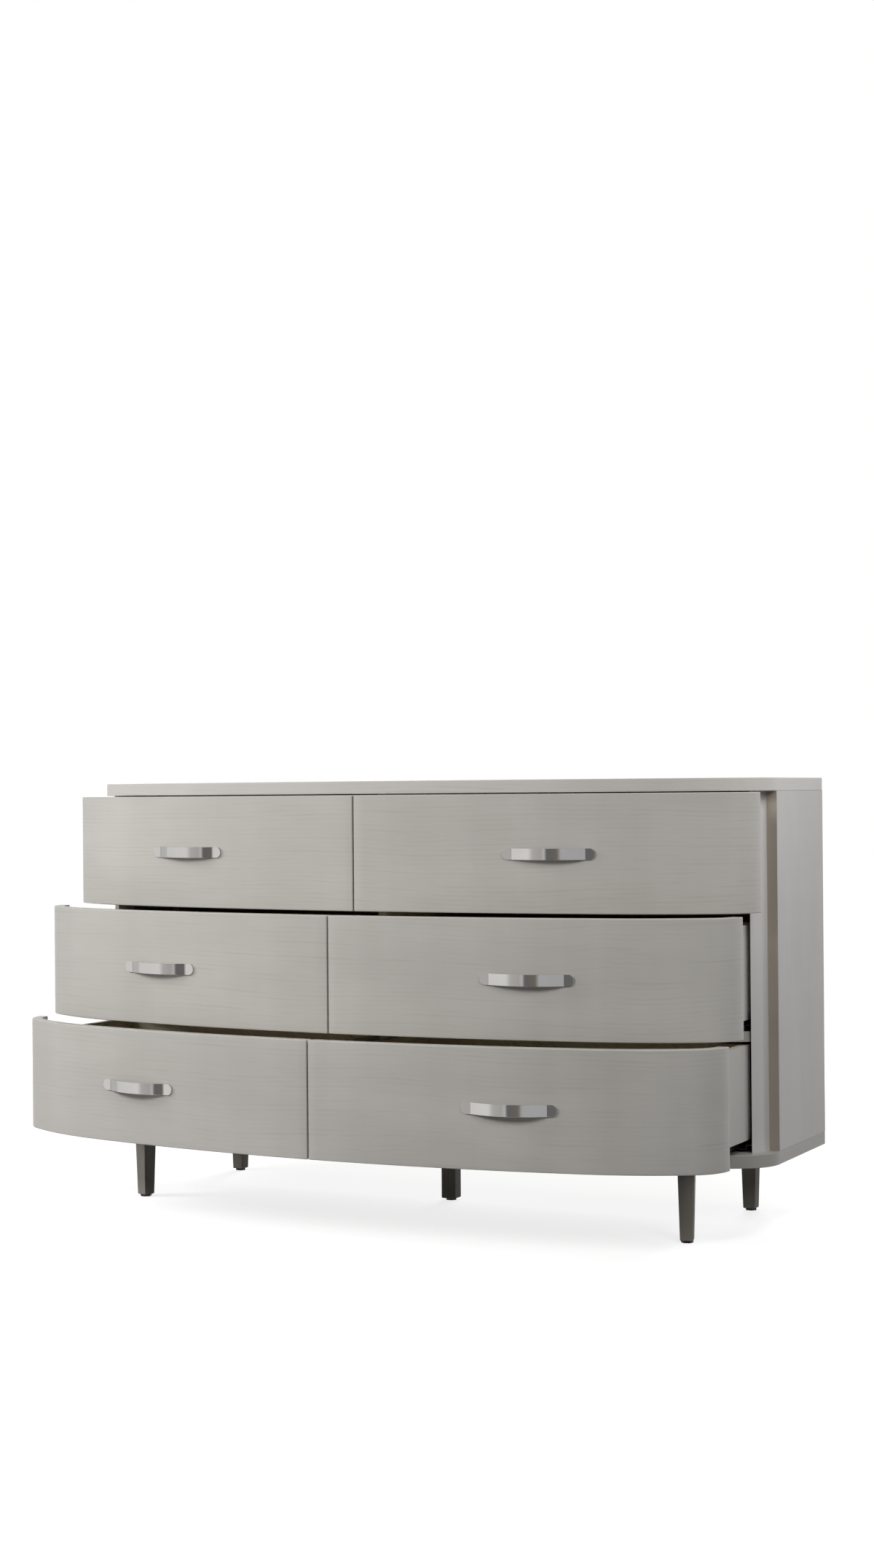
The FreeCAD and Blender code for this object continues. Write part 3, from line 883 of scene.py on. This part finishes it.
legLook = {
    "topWidth": 32.0 * mm,
    "footWidth": 25.0 * mm,
    "cornerRound": 1.8 * mm,
    "centreWidth": 32.0 * mm,
    "centreRound": 4.5 * mm,
    "footEase": 1.6 * mm,
    "roundShare": 0.5,  # how much of the foot's narrowing comes off its corners' rounding
    "leastRound": 0.4 * mm,
    "hold": 1.5 * mm,
    "turns": {"front_right": 16.0, "front_left": -16.0, "back_right": 0.0, "back_left": 0.0,
              "centre": 0.0},  # degrees, as the bow turns
}


def legRings(footWidth, topWidth, rounding, low, high):
    # Square sections that grow evenly with height, with the foot's edge rounded under.
    ease = legLook["footEase"]
    away, smaller = endEase(ease)
    levels = np.array([*away, ease * 2, high - low])
    shrinks = np.array([*smaller, 0, 0])
    halves = (footWidth + (topWidth - footWidth) * levels / (high - low)) / 2 - shrinks
    rings = []
    for level, half, shrink in zip(levels, halves, shrinks):
        radius = max(rounding - shrink * legLook["roundShare"], legLook["leastRound"])
        loop = roundedLoop(half, half, (radius,) * 4, legLook["hold"])
        rings.append(atHeight(loop, low + level))
    return np.stack(rings)


for name, turn in legLook["turns"].items():
    node = "leg_" + name
    low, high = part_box(node)
    middle = (low + high) / 2
    shape = [legLook[key] for key in ("footWidth", "topWidth", "cornerRound")]
    if name == "centre":
        shape = [legLook[key] for key in ("centreWidth", "centreWidth", "centreRound")]
    rings = turnedFlat(legRings(*shape, low.z, baseLow.z), math.radians(turn))
    piece = meshFromRings(node + "_post", [rings + np.array([middle.x, middle.y, 0])])
    placePiece(piece, "case", legWoodPaintedShade, [node])
print("legs made")


# Screws: pan heads with a cross recess, behind the pulls inside the drawers

screwLook = {
    "headRadius": 4.3 * mm,
    "spacing": 160.0 * mm,
    # Distance from the middle and height, both as shares of the head's radius.
    "profile": ((1.0, 0.0), (1.0, 0.3), (0.93, 0.45), (0.78, 0.56), (0.55, 0.62), (0.42, 0.63),
                (0.3, 0.64), (0.16, 0.64)),
    "points": 24,
    "crossHalfWidth": 0.13,
    "crossReach": 0.6,
    "crossDepth": 0.35,
    "sharpAngle": 40,
}


def screwRings():
    # Rings of a dome from its seat to near its middle, sunk where the cross recess is.
    radius = screwLook["headRadius"]
    angle = np.linspace(0, 2 * math.pi, screwLook["points"], endpoint=False)
    shares, heights = np.array(screwLook["profile"]).T[:, :, None]
    across = shares * radius
    x, y = across * np.cos(angle), across * np.sin(angle)
    arm = np.minimum(np.abs(x), np.abs(y)) < radius * screwLook["crossHalfWidth"]
    arm = arm & (across < radius * screwLook["crossReach"])
    z = heights * radius - arm * radius * screwLook["crossDepth"]
    return np.stack([x, y, z], -1)


head = screwRings()
out = np.array([math.sin(pullTurn), -math.cos(pullTurn)])
alongPull = np.array([math.cos(pullTurn), math.sin(pullTurn)])
reach = screwLook["spacing"] / 2
drop = arcRadii[0] - math.sqrt(arcRadii[0] ** 2 - reach ** 2)  # how far the bow recedes there
for row, side, sign in drawers:
    low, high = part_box(f"{row}_{side}_front")
    facing = Vector((-out[0] * sign, -out[1], 0))
    turn = np.array(facing.to_track_quat("Z", "Y").to_matrix())
    heads = []
    for end in (-1, 1):
        x, y = pullSeat + alongPull * reach * end - out * (drawerFront["thickness"] + drop)
        place = np.array([x * sign, y + low.y - frontY, (low.z + high.z) / 2])
        heads.append(head @ turn.T + place)
    piece = meshFromRings(f"{row}_{side}_pull_screws", heads, screwLook["sharpAngle"])
    placePiece(piece, f"{row}_{side}_drawer", zincSteel)
print("screws made")


# CAD nodes that keep their own shape get their finishes here

finishes = {
    "side_panel": sideWood,
    "corner_post": postWood,
    "divider_rail": railWood,
    "centre_partition": innerWood,
    "rear_posts": innerWood,
    "back_panel": backBoard,
    "cabinet_slides": blackSteel,
    "_drawer_slides": blackSteel,
    "_middle_slides": blackSteel,
    "_box": boxWood,
    "_floor": floorWood,
    "glide_": blackPlastic,
}

for name, node in nodes.items():
    for part, material in finishes.items():
        if part in name:
            node.data.materials.clear()
            node.data.materials.append(material)
print("finishes put on the frame's nodes")


# Floor, light and camera

studio = {
    "white": (1, 1, 1, 1),
    "floorTone": (0.5, 0.5, 0.5, 1),
    "floorReach": 30.0,
    "floorGlow": (0.8, 1.0, 1.0, 3.0),  # near and far strength, and the distances they hold to
    # The floor's tone for bounced light, near and far: darker near the object as painted shade
    # under it.
    "floorBouncePaintedShade": (0.08, 0.2, 0.75, 1.4),
    # What polished metal shows of the studio: degrees to the right of straight ahead, and tone.
    "mirrored": (
        (-180, linear(230, 230, 230)),
        (-112, linear(205, 205, 205)),
        (-88, linear(205, 205, 205)),
        (-82, linear(232, 231, 229)),
        (-58, linear(236, 235, 233)),
        (-36, linear(238, 237, 235)),
        (-29, linear(196, 195, 193)),
        (-14, linear(186, 184, 181)),
        (-10, linear(208, 206, 203)),
        (-8, linear(208, 206, 203)),
        (-6.5, linear(104, 106, 112)),
        (-2, linear(112, 111, 112)),
        (12, linear(122, 115, 106)),
        (17, linear(190, 190, 191)),
        (50, linear(184, 185, 188)),
        (95, linear(214, 215, 217)),
        (180, linear(230, 230, 230)),
    ),
    # Name, place, target, width, height and watts.
    "lamps": (
        ("rightLight", (3.4, -3.0, 2.6), (0.4, -0.2, 0.45), 1.6, 1.6, 55),
        ("leftLight", (-3.0, -1.6, 1.9), (-0.3, -0.3, 0.5), 1.4, 1.4, 60),
        ("frontLight", (-0.6, -2.6, 1.5), (-0.1, -0.3, 0.5), 1.4, 0.6, 31),
        ("sideLight", (1.35, -0.15, 1.5), (0.75, -0.02, 0.75), 0.8, 0.4, 6.5),
        ("backLight", (-0.6, 3.4, 2.0), (0.0, 0.2, 0.45), 1.8, 1.2, 60),
    ),
}


def fromNearToFar(start, distance, key):
    near, far, *fade = studio[key]
    return ramp(start, distance, fade) * (far - near) + near


def groundMaterial():
    # The camera sees a floor that glows white away from the object and carries its shadow close
    # to it; other light finds a darker floor, darkest under the object: painted shade in the
    # light it bounces.
    material, start = newMaterial("paleFloor")
    seen = start.node("ShaderNodeLightPath").output("Is Camera Ray")
    x, y, z = splitAxes(start, objectPosition(start))
    distance = start.maths("SQRT", x * x + y * y)
    glow = fromNearToFar(start, distance, "floorGlow")
    shadedBounce = fromNearToFar(start, distance, "floorBouncePaintedShade")
    white = start.node("ShaderNodeBsdfDiffuse", {}, {"Color": studio["floorTone"]})
    glowing = start.node("ShaderNodeEmission", {}, {"Color": studio["white"], "Strength": glow})
    bright = start.node("ShaderNodeAddShader", {}, {0: white, 1: glowing})
    plain = start.node("ShaderNodeBsdfDiffuse", {}, {"Color": shadedBounce})
    shader = start.node("ShaderNodeMixShader", {}, {0: seen, 1: plain, 2: bright})
    start.node("ShaderNodeOutputMaterial", {}, {"Surface": shader})
    return material


reach = studio["floorReach"]
corners = [(-reach, -reach, 0), (reach, -reach, 0), (reach, reach, 0), (-reach, reach, 0)]
floorMesh = bpy.data.meshes.new("floor")
floorMesh.from_pydata(corners, [], [(0, 1, 2, 3)])
floorMesh.materials.append(groundMaterial())
floor = addObject("floor", floorMesh)
floor.visible_glossy = False  # mirror reflections find the world below the horizon too


def makeWorld():
    # The camera sees white and gloss sees the colours by direction; the lamps do the lighting.
    world = bpy.data.worlds.new("studioWorld")
    bpy.context.scene.world = world
    world.use_nodes = True
    world.node_tree.nodes.clear()
    start = Wire(world.node_tree)
    path = start.node("ShaderNodeLightPath")
    onCamera = path.output("Is Camera Ray")
    onGloss = start.maths("MAXIMUM", path.output("Is Glossy Ray"),
                          path.output("Is Transmission Ray")) * (1 - onCamera)
    x, y, z = splitAxes(start, start.node("ShaderNodeTexCoord"))
    aside = start.maths("ARCTAN2", x, 0 - y) * (1 / (2 * math.pi)) + 0.5
    stops = [(angle / 360 + 0.5, tone) for angle, tone in studio["mirrored"]]
    mirrored = start.node("ShaderNodeValToRGB", {"stops": stops}, {"Fac": aside})
    tone = mixColour(start, onGloss, studio["white"], mirrored)
    sky = start.node("ShaderNodeBackground", {}, {"Color": tone, "Strength": onCamera + onGloss})
    start.node("ShaderNodeOutputWorld", {}, {"Surface": sky})


makeWorld()

for name, place, target, width, height, power in studio["lamps"]:
    lamp = bpy.data.lights.new(name, "AREA")
    lamp.shape = "RECTANGLE"
    lamp.size, lamp.size_y = width, height
    lamp.energy = power
    aim = (Vector(target) - Vector(place)).to_track_quat("-Z", "Y")
    holder = addObject(name, lamp)
    holder.matrix_world = Matrix.Translation(place) @ aim.to_matrix().to_4x4()
    holder.visible_glossy = False  # lacquer and metal show the world's studio instead

photoCamera = {
    "place": (2.1492, -4.2678, 0.8401),
    "yaw": 27.002,
    "pitch": 0.220,
    "roll": -0.462,
    "focalPixels": 3171.8,
    "imageHeight": 2152,
    "sensorWidth": 36.0,
    "clipEnd": 200.0,
}


def cameraMatrix(view):
    # Right, up and forward from yaw to the left, pitch up and a small roll.
    yaw, pitch, roll = (math.radians(view[key]) for key in ("yaw", "pitch", "roll"))
    level = math.cos(pitch)
    forward = Vector((-math.sin(yaw) * level, math.cos(yaw) * level, math.sin(pitch)))
    right = Vector((math.cos(yaw), math.sin(yaw), 0))
    up = right.cross(forward)
    rightRolled = math.cos(roll) * right + math.sin(roll) * up
    upRolled = -math.sin(roll) * right + math.cos(roll) * up
    turn = Matrix((rightRolled, upRolled, -forward)).transposed().to_4x4()
    return Matrix.Translation(view["place"]) @ turn


lens = bpy.data.cameras.new("photoCamera")
lens.sensor_width = photoCamera["sensorWidth"]
lens.lens = lens.sensor_width * photoCamera["focalPixels"] / photoCamera["imageHeight"]
lens.clip_end = photoCamera["clipEnd"]
camera = addObject("photoCamera", lens)
camera.matrix_world = cameraMatrix(photoCamera)
bpy.context.scene.camera = camera
bpy.context.scene.view_settings.view_transform = "Standard"
print("floor, light and camera set")
